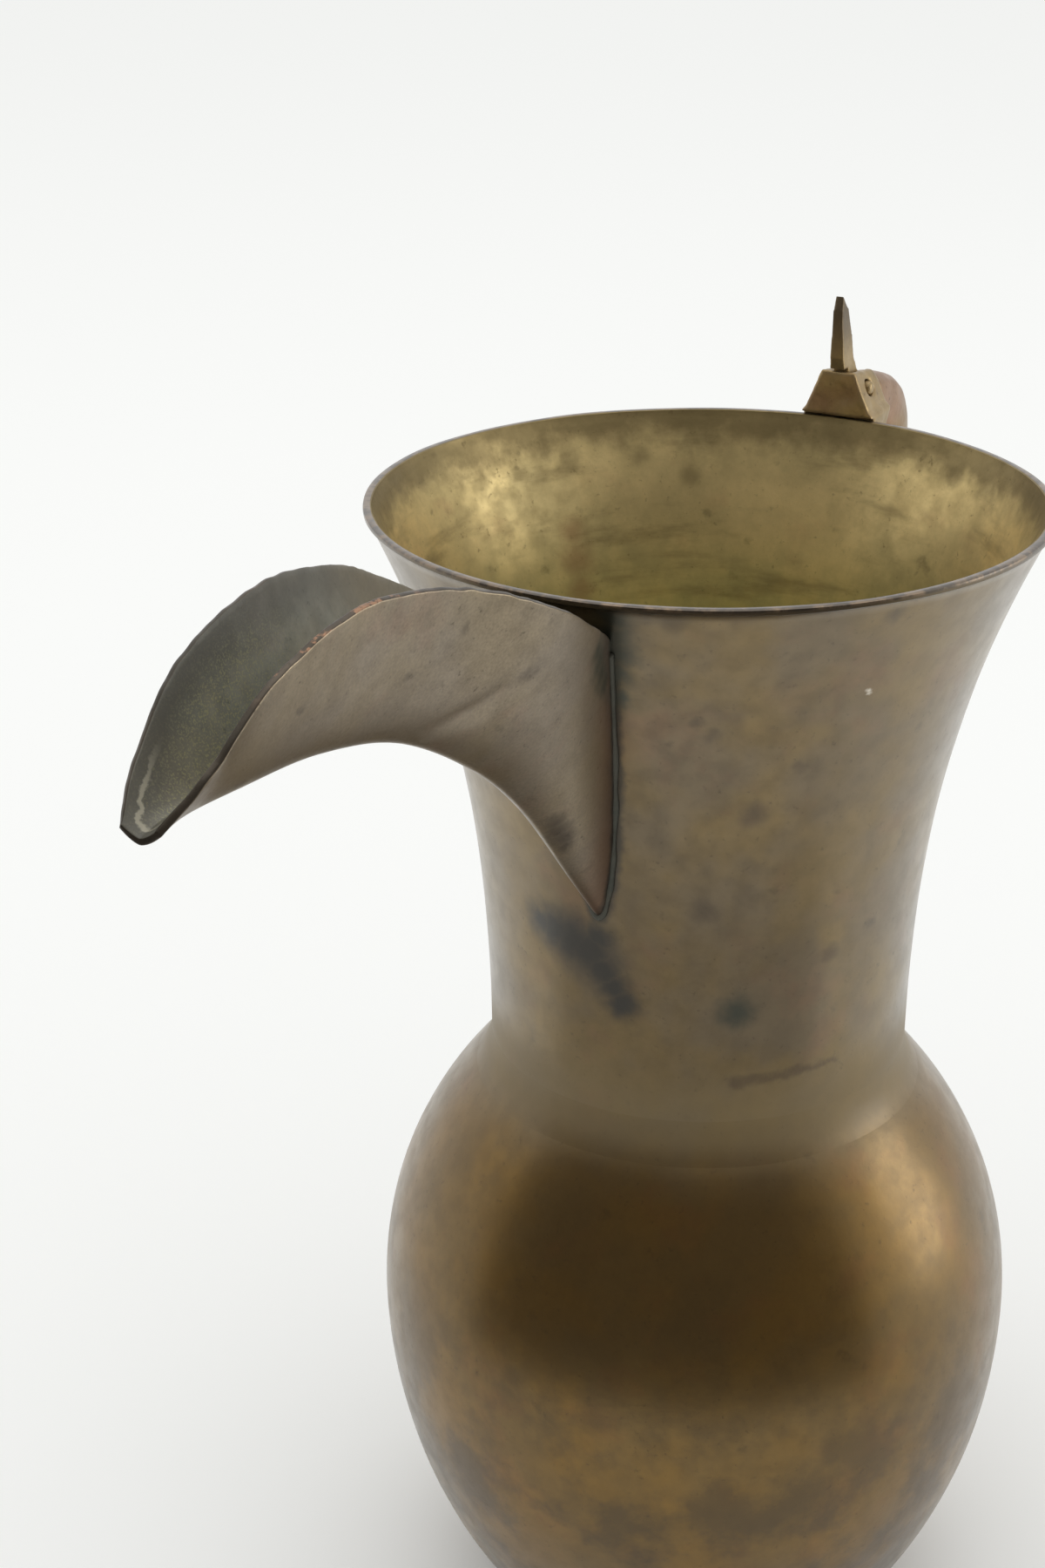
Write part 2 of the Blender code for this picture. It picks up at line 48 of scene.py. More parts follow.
# Vessel
RIM_HEIGHT = 186 * MM
RIM_RADIUS = 50 * MM
WAIST_HEIGHT = 95 * MM
WAIST_RADIUS = 32.3 * MM
FLARE_POWER = 2.5
SKIRT = 5 * MM
BELLY_HEIGHT = 55 * MM
BELLY_RADIUS = 50 * MM
COLLAR_RADIUS = 34.1 * MM
CREASE_HEIGHT = 96.8 * MM  # where the belly's curve would meet the neck
FILLET_TOP = 101.8 * MM
FILLET_FOOT = 93.2 * MM
BASE_RADIUS = 32 * MM
BASE_THICKNESS = 1.2 * MM
BELLY_BOTTOM = 1.5 * MM
FLANGE_RADIUS = 30.4 * MM
FLANGE_TOP = 6.2 * MM
WALL = 1.0 * MM
FIT_GAP = 0.3 * MM
AROUND = 180  # facets round a turned piece
NECK_RINGS = 72
UPPER_BELLY_RINGS = 26
LOWER_BELLY_RINGS = 30
FILLET_RINGS = 20
LIP_DEPTH = 1.1 * MM  # below the rim, where its own section starts
SHEET_DENTS = (25 * MM, 0.13 * MM)  # size and depth
INWARD_LEAN = -0.2  # a face of the wall that leans inwards by more than this is on the inside

# Sections in mm: the upset lip from the rim's outer edge, the back of the fillet and the edge of the base
LIP_SECTION = (
    (0.1, -0.75), (0.16, -0.4), (0.1, -0.12), (-0.12, 0), (-0.95, 0), (-1.15, -0.1), (-1.24, -0.35),
)
FILLET_BACK = ((34, 94.5), (32, 96.5), (32, 101.5))
FILLET_SUNK = 0.03
BASE_EDGE = ((31.8, 1.2), (31.95, 1.1), (32, 0.9), (32, 0.3), (31.9, 0.1), (31.7, 0))

# Spout, from inside the neck to the tip, in mm: the keel's distance out from the waist and rise from the
# rim, then the lips' distance out, half width and rise
SPOUT_STATIONS = (
    (-3.3, -58.5, 8.7, 5.2, -9),
    (9.7, -44, 17.7, 8.2, -4),
    (23.7, -28.2, 27.7, 11.4, 1),
    (37.7, -16.8, 39.7, 12.4, 7.4),
    (55.7, -6.6, 55.7, 9.4, 14),
    (73.7, -1.5, 73.7, 7.3, 17.2),
    (90.7, 0.4, 90.7, 6.2, 14),
    (101.7, 1.2, 101.7, 4.7, 6.7),
    (107.9, 0.6, 107.9, 2.4, 1.9),
)
SHEET = 0.9 * MM
SECTION_POWER = 0.65  # half width grows with the height above the keel by this power
KEEL_CROWDING = 1.6  # draws the section's points towards the keel
SPOUT_ROWS = 160
SPOUT_COLUMNS = 80
FINE_ROWS = SPOUT_ROWS * 8  # on which the seam is looked for
LIP_START = 0.9  # share of the way from keel to lip past which the lip is nibbled
NIBBLE_DEPTH = 0.16 * MM
NIBBLE_SCALE = 420  # per metre
EDGE_ROUND = 0.22 * MM
CREASE = ((88, 0.9, 180), (84.5, 2.2, 180), (81.5, 3.7, 180.5), (78.3, 5.4, 181.4), (75.5, 7, 182.7))  # in mm
CREASE_DEPTH = 0.36 * MM
CREASE_HALF_WIDTH = 1.9 * MM
CREASE_FADE = 0.45  # share of the way to the lip in which the crease fades, so that the keel stays straight
REACH = 12 * MM  # of marks along the seam and the lips

# Solder bead on the seam
BEAD_REACH = 0.97  # share of the seam, each way from the keel
BEAD_POINTS = 90
BEAD_RADIUS = 0.58 * MM
BEAD_SHIFT = 0.1  # mm, out of the neck and into the sheet
BEAD_GRAIN = 0.22 * MM
LUMP_SHARE = 0.4
LUMP_SCALE = 260  # per metre

# Strainer holes behind the spout: drop below the rim and distance to the side of the middle, in mm
FIRST_HOLE_DROP, HOLE_PITCH, HOLE_SPREAD = 13, 5, 2.4
HOLE_ROWS = 7
PAIRED_ROWS = (0, 2)
STRAINER_HOLES = tuple(
    (FIRST_HOLE_DROP + HOLE_PITCH * row, side)
    for row in range(HOLE_ROWS)
    for side in ((-HOLE_SPREAD, HOLE_SPREAD) if row in PAIRED_ROWS else (0,))
)
HOLE_RADIUS = 1.4 * MM
DRILL_FACETS = 24
DRILL_LENGTH = 40 * MM

MERGE = 0.001 * MM  # points nearer than this are one
CAD_MERGE = 0.005 * MM  # for the loose triangles of a CAD node
SMOOTH_ANGLE = 40
SPOUT_SMOOTH_ANGLE = 110  # the fold of the keel is round


# Modelling helpers


def fresh():
    """Leaves nothing selected, so that the next operator acts on the new piece alone."""
    if bpy.context.mode != "OBJECT":
        bpy.ops.object.mode_set(mode="OBJECT")
    bpy.ops.object.select_all(action="DESELECT")


def named(name):
    """The piece just added, under its own name."""
    piece = bpy.context.object
    piece.name = piece.data.name = name
    return piece


def apply(piece, kind, **settings):
    """Adds a modifier with these settings and applies it."""
    modifier = piece.modifiers.new(kind.title(), kind)
    for key, value in settings.items():
        setattr(modifier, key, value)
    bpy.context.view_layer.objects.active = piece
    bpy.ops.object.modifier_apply(modifier=modifier.name)


def smooth(piece, degrees):
    fresh()
    piece.select_set(True)
    bpy.context.view_layer.objects.active = piece
    bpy.ops.object.shade_smooth_by_angle(angle=math.radians(degrees))


def turned(name, outline, around=AROUND):
    """A turned piece: its outline of (radius, height) is drawn point by point and spun round the axis. It is
    closed, unless it starts and ends on the axis."""
    fresh()
    closing = outline[:1] if outline[0][0] + outline[-1][0] > 0 else []
    bpy.ops.mesh.primitive_plane_add(size=MM)
    piece = named(name)
    bpy.ops.object.mode_set(mode="EDIT")
    bpy.ops.mesh.merge(type="CENTER")
    bpy.ops.transform.translate(value=(outline[0][0], 0, outline[0][1]))
    for (r0, z0), (r1, z1) in zip(outline, outline[1:] + closing):
        bpy.ops.mesh.extrude_region_move(TRANSFORM_OT_translate={"value": (r1 - r0, 0, z1 - z0)})
    bpy.ops.mesh.select_all(action="SELECT")
    bpy.ops.mesh.remove_doubles(threshold=MERGE)
    bpy.ops.mesh.spin(steps=around, angle=2 * math.pi, center=(0, 0, 0), axis=(0, 0, 1))
    bpy.ops.mesh.select_all(action="SELECT")
    bpy.ops.mesh.remove_doubles(threshold=MERGE)
    bpy.ops.mesh.normals_make_consistent(inside=False)
    bpy.ops.object.mode_set(mode="OBJECT")
    return piece


def softened(name, node, grain, rounds):
    """A cast piece: a copy of its plain solid, remeshed at this grain and smoothed in rounds until its
    corners are round."""
    fresh()
    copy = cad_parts[node].copy()
    copy.data = copy.data.copy()
    copy.parent = None
    copy.matrix_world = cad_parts[node].matrix_world
    bpy.context.scene.collection.objects.link(copy)
    copy.select_set(True)
    bpy.context.view_layer.objects.active = copy
    piece = named(name)
    bpy.ops.object.transform_apply(location=True, rotation=True, scale=True)
    bpy.ops.object.mode_set(mode="EDIT")
    bpy.ops.mesh.select_all(action="SELECT")
    bpy.ops.mesh.remove_doubles(threshold=CAD_MERGE)
    bpy.ops.mesh.normals_make_consistent(inside=False)
    bpy.ops.object.mode_set(mode="OBJECT")
    apply(piece, "REMESH", mode="VOXEL", voxel_size=grain)
    apply(piece, "SMOOTH", factor=0.5, iterations=rounds)
    piece.data.materials.clear()
    return piece


def tidy_normals(piece):
    """Merges doubles and turns every face of a closed piece outwards."""
    fresh()
    bpy.context.view_layer.objects.active = piece
    bpy.ops.object.mode_set(mode="EDIT")
    bpy.ops.mesh.select_all(action="SELECT")
    bpy.ops.mesh.remove_doubles(threshold=MERGE)
    bpy.ops.mesh.normals_make_consistent(inside=False)
    bpy.ops.object.mode_set(mode="OBJECT")


def steps(start, end, count):
    return [start + (end - start) * i / count for i in range(count + 1)]


# Outlines of the vessel


def neck_radius(z):
    share = max(0, (z - WAIST_HEIGHT) / (RIM_HEIGHT - WAIST_HEIGHT))
    return WAIST_RADIUS + (RIM_RADIUS - WAIST_RADIUS) * share**FLARE_POWER


def belly_radius(z):
    upper = z >= BELLY_HEIGHT
    drop = BELLY_RADIUS - (COLLAR_RADIUS if upper else BASE_RADIUS)
    rise = (WAIST_HEIGHT if upper else BELLY_BOTTOM) - BELLY_HEIGHT
    arc = (rise**2 + drop**2) / (2 * drop)
    return BELLY_RADIUS - arc + math.sqrt(arc**2 - (z - BELLY_HEIGHT) ** 2)


def inside_of(outer, z):
    """Inner radius of the wall whose outer radius is the function outer, measured square to its slope."""
    step = 0.01 * MM
    slope = (outer(z + step / 2) - outer(z - step / 2)) / step
    return outer(z) - WALL * math.hypot(1, slope)


def make_neck():
    """Flared neck with a flat, slightly upset rim, a skirt inside the belly and strainer holes."""
    low, shoulder = WAIST_HEIGHT - SKIRT, RIM_HEIGHT - LIP_DEPTH
    heights = [low] + steps(WAIST_HEIGHT, shoulder, NECK_RINGS)
    outer = [(neck_radius(z), z) for z in heights]
    inner = [(inside_of(neck_radius, z), z) for z in reversed(heights)]
    rim = [(RIM_RADIUS + x * MM, RIM_HEIGHT + z * MM) for x, z in LIP_SECTION]
    neck = turned("neck", outer + rim + inner)
    for drop, side in STRAINER_HOLES:
        fresh()
        place = (WAIST_RADIUS, side * MM, RIM_HEIGHT - drop * MM)
        bpy.ops.mesh.primitive_cylinder_add(
            vertices=DRILL_FACETS,
            radius=HOLE_RADIUS,
            depth=DRILL_LENGTH,
            location=place,
            rotation=(0, math.pi / 2, 0),
        )
        drill = bpy.context.object
        apply(neck, "BOOLEAN", object=drill, operation="DIFFERENCE", solver="EXACT")
        bpy.data.objects.remove(drill)
    return neck


def make_belly():
    """Round belly, open at both ends, with room for the neck's skirt in its top."""
    heights = steps(WAIST_HEIGHT, BELLY_HEIGHT, UPPER_BELLY_RINGS)
    heights += steps(BELLY_HEIGHT, BELLY_BOTTOM, LOWER_BELLY_RINGS)[1:]
    outer = [(belly_radius(z), z) for z in heights]
    skirt = WAIST_RADIUS + FIT_GAP
    inner = [(max(inside_of(belly_radius, z), skirt if z > BELLY_HEIGHT else 0), z) for z in heights]
    return turned("belly", outer + inner[::-1])


def make_fillet():
    """Braze metal, dressed off into a soft hollow between neck and belly. Its two edges are sunk in their
    walls."""
    top, crease = Vector((WAIST_RADIUS, FILLET_TOP)), Vector((WAIST_RADIUS, CREASE_HEIGHT))
    foot = Vector((belly_radius(FILLET_FOOT), FILLET_FOOT))
    sunk = Vector((FILLET_SUNK, FILLET_SUNK)) * MM
    shares = steps(0, 1, FILLET_RINGS)
    hollow = [top * (1 - t) ** 2 + crease * 2 * t * (1 - t) + foot * t**2 - sunk for t in shares]
    back = [foot - 10 * sunk] + [Vector(point) * MM for point in FILLET_BACK]
    return turned("neck_fillet", [tuple(point) for point in hollow + back])


def make_base():
    """Flat bottom plate with a rounded edge and an upright flange inside the belly."""
    inside = FLANGE_RADIUS - WALL
    outline = [(0, BASE_THICKNESS), (inside, BASE_THICKNESS), (inside, FLANGE_TOP)]
    outline += [(FLANGE_RADIUS, FLANGE_TOP), (FLANGE_RADIUS, BASE_THICKNESS)]
    return turned("base", outline + [(r * MM, z * MM) for r, z in BASE_EDGE] + [(0, 0)])


# Spout


def smooth_curve(points, count):
    """count + 1 points along a smooth curve through points of any number of values."""
    points = [Vector(point) for point in points]
    ends = [2 * points[0] - points[1]] + points + [2 * points[-1] - points[-2]]
    found = []
    for i in range(count + 1):
        place = i / count * (len(points) - 1)
        k = min(int(place), len(points) - 2)
        t = place - k
        a, b, c, d = ends[k : k + 4]
        bend = (2 * a - 5 * b + 4 * c - d) * t**2 + (3 * b - a - 3 * c + d) * t**3
        found.append(b + 0.5 * ((c - a) * t + bend))
    return found


def spout_rows(count):
    """Keel x, keel z, lip x, lip half width and lip z along the spout."""
    start = Vector((WAIST_RADIUS, RIM_HEIGHT, WAIST_RADIUS, 0, RIM_HEIGHT))
    return smooth_curve([start + Vector(station) * MM for station in SPOUT_STATIONS], count)


def spout_point(row, side):
    """A point of the spout's middle surface: side runs from -1 at one lip over 0 at the keel to 1."""
    keel_x, keel_z, lip_x, half_width, lip_z = row
    height = abs(side) ** KEEL_CROWDING
    y = math.copysign(half_width * height**SECTION_POWER, side)
    return Vector((keel_x + (lip_x - keel_x) * height, y, keel_z + (lip_z - keel_z) * height))


def seam_row(rows, side, sunk=0):
    """The row on which the spout's middle surface comes out of the neck, on the line of this side value, or
    out of a surface sunk this deep in the neck's wall."""
    for i, row in enumerate(rows):
        point = spout_point(row, side)
        if math.hypot(point.x, point.y) >= neck_radius(point.z) - sunk:
            return i


def make_spout():
    """Beak folded from one sheet. No operator folds a sheet along a curved keel, so a grid is laid out on it,
    from the seam on the neck to the tip."""
    fresh()
    bpy.ops.mesh.primitive_grid_add(x_subdivisions=SPOUT_ROWS, y_subdivisions=SPOUT_COLUMNS, size=2)
    spout = named("spout")
    rows = spout_rows(FINE_ROWS)
    starts = [seam_row(rows, side, WALL / 2) for side in steps(-1, 1, SPOUT_COLUMNS)]
    crease = smooth_curve([Vector(point) * MM for point in CREASE], 40)
    for vert in spout.data.vertices:
        share, side = (vert.co.x + 1) / 2, vert.co.y
        start = starts[round((side + 1) / 2 * SPOUT_COLUMNS)]
        row = rows[round(start + (len(rows) - 1 - start) * share)]
        point = spout_point(row, side)
        worn = max(0, abs(side) - LIP_START) / (1 - LIP_START)
        point.z += worn * NIBBLE_DEPTH * noise.noise(point * NIBBLE_SCALE)
        away = min((point - place).length for place in crease) / CREASE_HALF_WIDTH
        middle = Vector(((row[0] + row[2]) / 2, 0, (row[1] + row[4]) / 2))
        depth = CREASE_DEPTH * math.exp(-(away**2)) * min(1, abs(side) / CREASE_FADE)
        vert.co = point + (middle - point).normalized() * depth
    for shell in ("inside", "outside", "edge"):
        spout.data.materials.append(bpy.data.materials.new(shell))
    apply(spout, "SOLIDIFY", thickness=SHEET, offset=0, material_offset=1, material_offset_rim=2)
    sides = {}
    for face in spout.data.polygons:
        for key in face.edge_keys:
            sides.setdefault(key, set()).add(face.material_index)
    bpy.ops.object.mode_set(mode="EDIT")
    bpy.ops.mesh.select_all(action="DESELECT")
    bpy.ops.mesh.select_mode(type="EDGE")
    bpy.ops.object.mode_set(mode="OBJECT")
    for edge in spout.data.edges:
        edge.select = len(sides[edge.key]) == 2  # where a cut edge meets a face of the sheet
    bpy.ops.object.mode_set(mode="EDIT")
    bpy.ops.mesh.bevel(offset=EDGE_ROUND, segments=2, affect="EDGES")
    bpy.ops.mesh.select_mode(type="VERT")
    bpy.ops.object.mode_set(mode="OBJECT")
    tidy_normals(spout)
    return spout


def seam_point(rows, side):
    """The point of the seam on the line of this side value."""
    return spout_point(rows[seam_row(rows, side)], side)


def make_bead():
    """Solder run along the V-shaped seam, lumpy, with closed ends."""
    fresh()
    rows = spout_rows(FINE_ROWS)
    seam = [seam_point(rows, side) for side in steps(-BEAD_REACH, BEAD_REACH, BEAD_POINTS)]
    line = []
    for i, point in enumerate(seam):
        along = seam[min(i + 1, BEAD_POINTS)] - seam[max(i - 1, 0)]
        out = Vector((point.x, point.y, 0)).normalized()
        away = along.cross(out).normalized()
        line.append(point + out * BEAD_SHIFT * MM + away * (SHEET / 2 - BEAD_SHIFT * MM))
    bpy.ops.mesh.primitive_plane_add(size=MM)
    bead = named("spout_solder")
    bpy.ops.object.mode_set(mode="EDIT")
    bpy.ops.mesh.merge(type="CENTER")
    bpy.ops.transform.translate(value=line[0])
    for a, b in zip(line, line[1:]):
        bpy.ops.mesh.extrude_region_move(TRANSFORM_OT_translate={"value": b - a})
    bpy.ops.object.mode_set(mode="OBJECT")
    bpy.ops.object.convert(target="CURVE")
    bead = bpy.context.object
    bead.data.bevel_depth = BEAD_RADIUS
    bead.data.bevel_resolution = 4
    bead.data.use_fill_caps = True
    for point in bead.data.splines[0].points:
        lump = noise.noise(Vector(point.co[:3]) * LUMP_SCALE)
        point.radius = 1 + LUMP_SHARE * lump
    bpy.ops.object.convert(target="MESH")
    bead = named("spout_solder")
    apply(bead, "REMESH", mode="VOXEL", voxel_size=BEAD_GRAIN)
    apply(bead, "SMOOTH", factor=0.5, iterations=4)
    return bead


def dent(piece, size, depth):
    """Hand-worked sheet is never quite true: soft hollows of this size and depth."""
    texture = bpy.data.textures.new("hammering", "CLOUDS")
    texture.noise_scale = size
    texture.noise_depth = 1
    apply(piece, "DISPLACE", texture=texture, strength=2 * depth, mid_level=0.5, texture_coords="LOCAL")


def measured(piece, name, line):
    """Stores how near each point of the piece is to a line, from 0 at REACH to 1 on it, for marks that follow
    it."""
    places = KDTree(len(line))
    for i, point in enumerate(line):
        places.insert(point, i)
    places.balance()
    nearness = piece.data.attributes.new(name, "FLOAT", "POINT")
    for vert in piece.data.vertices:
        nearness.data[vert.index].value = max(0, 1 - places.find(vert.co)[2] / REACH)


neck = make_neck()
dent(neck, *SHEET_DENTS)
belly = make_belly()
dent(belly, *SHEET_DENTS)
fillet = make_fillet()
dent(fillet, *SHEET_DENTS)
base = make_base()
spout = make_spout()
bead = make_bead()
spout_lines = spout_rows(FINE_ROWS)
seam = [seam_point(spout_lines, side) for side in steps(-1, 1, 300)]
lips = [spout_point(row, side) for row in spout_lines for side in (-1, 1)]
lips += [spout_point(spout_lines[-1], side) for side in steps(-1, 1, 40)]
measured(neck, "near_seam", seam)
measured(spout, "near_seam", seam)
measured(spout, "near_lip", lips)
lug = softened("lug", "hinge_lug", grain=0.25 * MM, rounds=12)
dent(lug, size=2.5 * MM, depth=0.12 * MM)
lever = softened("lever", "thumb_lever", grain=0.2 * MM, rounds=5)
pin = softened("pin", "hinge_pin", grain=0.14 * MM, rounds=4)
handle = softened("handle", "handle_bar", grain=0.45 * MM, rounds=8)
dent(handle, size=7 * MM, depth=0.15 * MM)
pad = softened("pad", "handle_pad", grain=0.3 * MM, rounds=5)
upper_rivet = softened("upper_rivet", "upper_pad_rivet", grain=0.16 * MM, rounds=5)
lower_rivet = softened("lower_rivet", "lower_pad_rivet", grain=0.16 * MM, rounds=5)


# Materials

EASED = {"interpolation_type": "SMOOTHSTEP"}
COLOUR = {"data_type": "RGBA"}
SHADE = {"data_type": "RGBA", "blend_type": "MULTIPLY"}
SEEDED = {"noise_dimensions": "4D"}  # the second input of such a noise only moves the pattern


def linear(colour):
    """sRGB hex to linear colour."""
    parts = [int(colour[i : i + 2], 16) / 255 for i in (1, 3, 5)]
    return [c / 12.92 if c <= 0.04045 else ((c + 0.055) / 1.055) ** 2.4 for c in parts] + [1]


def per(size):
    """Scale of a pattern whose features are this many millimetres across."""
    return 1 / (size * MM)


def add(tree, kind, inputs, out=0, **settings):
    """Adds a node of this kind with its settings, its sockets set or linked, and gives one of its outputs."""
    made = tree.nodes.new("ShaderNode" + kind)
    for key, value in settings.items():
        setattr(made, key, value)
    for key, value in inputs.items() if isinstance(inputs, dict) else enumerate(inputs):
        if isinstance(value, bpy.types.NodeSocket):
            tree.links.new(value, made.inputs[key])
        else:
            made.inputs[key].default_value = value
    return made.outputs[out]


def finish(name, metallic):
    """A new material: its node tree, its shader and its Object coordinates."""
    material = bpy.data.materials.new(name)
    material.use_nodes = True
    tree = material.node_tree
    shader = tree.nodes["Principled BSDF"]
    shader.inputs["Metallic"].default_value = metallic
    return material, tree, shader, add(tree, "TexCoord", (), "Object")


def stains(tree, place, spots, strength):
    """Mask of ragged stains at these places, each with its radius, in millimetres."""
    ragged = add(tree, "TexNoise", {"Vector": place, "Scale": per(2.2), "Detail": 4}, 1)
    shift = add(tree, "VectorMath", (ragged, (0.5, 0.5, 0.5)), operation="SUBTRACT")
    moved = add(tree, "VectorMath", (shift, (2.4 * MM,) * 3, place), operation="MULTIPLY_ADD")
    mask = 0.0
    for x, y, z, radius in spots:
        away = add(tree, "VectorMath", (moved, (x * MM, y * MM, z * MM)), 1, operation="DISTANCE")
        spot = add(tree, "MapRange", (away, 1.8 * radius * MM, 0.2 * radius * MM, 0, strength), **EASED)
        mask = add(tree, "Math", (mask, spot), operation="MAXIMUM")
    return mask


def stained(tree, place, colour, marks):
    """The colour with stains on it, each kind of mark with its spots, tone and strength."""
    for spots, tone, strength in marks:
        mask = stains(tree, place, spots, strength)
        colour = add(tree, "Mix", {0: mask, 6: colour, 7: linear(tone)}, 2, **COLOUR)
    return colour


def patina(tree, place, tones, gloss, mottling=(0.91, 1.06), flecks=0.35, blots=0.35, blush=0.4):
    """Old brass that was handled and never polished: cloudy tones, a blush of copper, mottling, dark flecks
    and blots. Gives its colour, its roughness between the two values of gloss, and its relief."""
    ground, gold, red, grime = [linear(tone) for tone in tones]
    clouds = add(tree, "TexNoise", (place, 0, per(17), 3, 0.55), **SEEDED)
    mottle = add(tree, "TexNoise", (place, 2, per(3.4), 6, 0.6), **SEEDED)
    fleck = add(tree, "TexNoise", (place, 4, per(0.9), 3, 0.6), **SEEDED)
    golden = add(tree, "MapRange", (clouds, 0.38, 0.64, 0, 1), **EASED)
    colour = add(tree, "Mix", {0: golden, 6: ground, 7: gold}, 2, **COLOUR)
    reddish = add(tree, "TexNoise", (place, 6, per(11), 4, 0.6), **SEEDED)
    reddish = add(tree, "MapRange", (reddish, 0.52, 0.72, 0, blush), **EASED)
    colour = add(tree, "Mix", {0: reddish, 6: colour, 7: red}, 2, **COLOUR)
    shade = add(tree, "MapRange", (mottle, 0.28, 0.72, *mottling), **EASED)
    colour = add(tree, "Mix", {0: 1.0, 6: colour, 7: shade}, 2, **SHADE)
    specks = add(tree, "MapRange", (fleck, 0.6, 0.76, 0, flecks), **EASED)
    colour = add(tree, "Mix", {0: specks, 6: colour, 7: grime}, 2, **COLOUR)
    blot = add(tree, "TexNoise", (place, 8, per(5), 5, 0.55), **SEEDED)
    blot = add(tree, "MapRange", (blot, 0.62, 0.74, 0, blots), **EASED)
    colour = add(tree, "Mix", {0: blot, 6: colour, 7: grime}, 2, **COLOUR)
    rough = add(tree, "MapRange", (mottle, 0.28, 0.72, *gloss), **EASED)
    rough = add(tree, "Math", (specks, 0.25, rough), operation="MULTIPLY_ADD")
    relief = add(tree, "Math", (mottle, 0.4, fleck), operation="MULTIPLY_ADD")
    return colour, rough, relief


def wear(tree, shader, colour, rough, relief, depth):
    """Puts the patina on the shader, with a relief this many millimetres deep."""
    tree.links.new(colour, shader.inputs["Base Color"])
    tree.links.new(rough, shader.inputs["Roughness"])
    bump = add(tree, "Bump", {"Height": relief, "Strength": 1.0, "Distance": depth * MM})
    tree.links.new(bump, shader.inputs["Normal"])


# Marks on the vessel: place and radius in mm
DARK_MARKS = (
    (30.9, 21.7, 151.7, 1.8), (37.3, 18.4, 165.4, 1.0), (39, 16.5, 167.5, 0.9), (10.9, 32, 129.1, 1.0),
    (17.4, 28.7, 126.6, 1.2), (31.4, 14.8, 136.1, 1.8), (46.4, 16.2, 184.2, 2.0), (47.6, 13.6, 184.9, 1.4),
    (27.6, 39.9, 182.8, 1.4), (-4.3, 34.1, 133.6, 1.0), (28.7, 27.5, 159.4, 1.2),
)
GREENISH_MARKS = (
    (27.2, 18.5, 119, 2.4), (48, 8.6, 183.5, 2.2), (47, 7.8, 180.8, 2.7), (45.7, 7.9, 178, 2.7),
    (44.3, 7.4, 174.4, 2.2), (42.8, 7.2, 170.4, 1.5),
)
FLUX_SMEAR = (
    (32, -10.5, 129.2, 2.6), (32.8, -8, 128.8, 3.5), (33.5, -4.9, 128, 4.2), (33.6, -2.2, 127, 4.2),
    (33.6, -0.6, 129.4, 2.6), (33.4, 0, 124.2, 3.0), (33.1, 1.8, 121.6, 2.6), (32.8, 3, 119.2, 2.6),
)
PALE_NICKS = ((25.1, 35.4, 170.6, 0.4), (24.7, 35.6, 170.1, 0.3))
SCRATCH_TURNS = (34.5, 63.7)  # a dark scratch low on the neck, in degrees round it
SCRATCH_RISE = (107.2, 108.2)  # and in mm above the table
SCRATCH_SPOTS = 22


def scratch():
    """Spots so close along the scratch that they run together, smaller towards its end."""
    spots = []
    for share in steps(0, 1, SCRATCH_SPOTS):
        turn = math.radians(SCRATCH_TURNS[0] + (SCRATCH_TURNS[1] - SCRATCH_TURNS[0]) * share)
        out = neck_radius(SCRATCH_RISE[0] * MM) / MM
        rise = SCRATCH_RISE[0] + (SCRATCH_RISE[1] - SCRATCH_RISE[0]) * share
        spots.append((out * math.cos(turn), out * math.sin(turn), rise, 1.0 - 0.5 * share))
    return spots


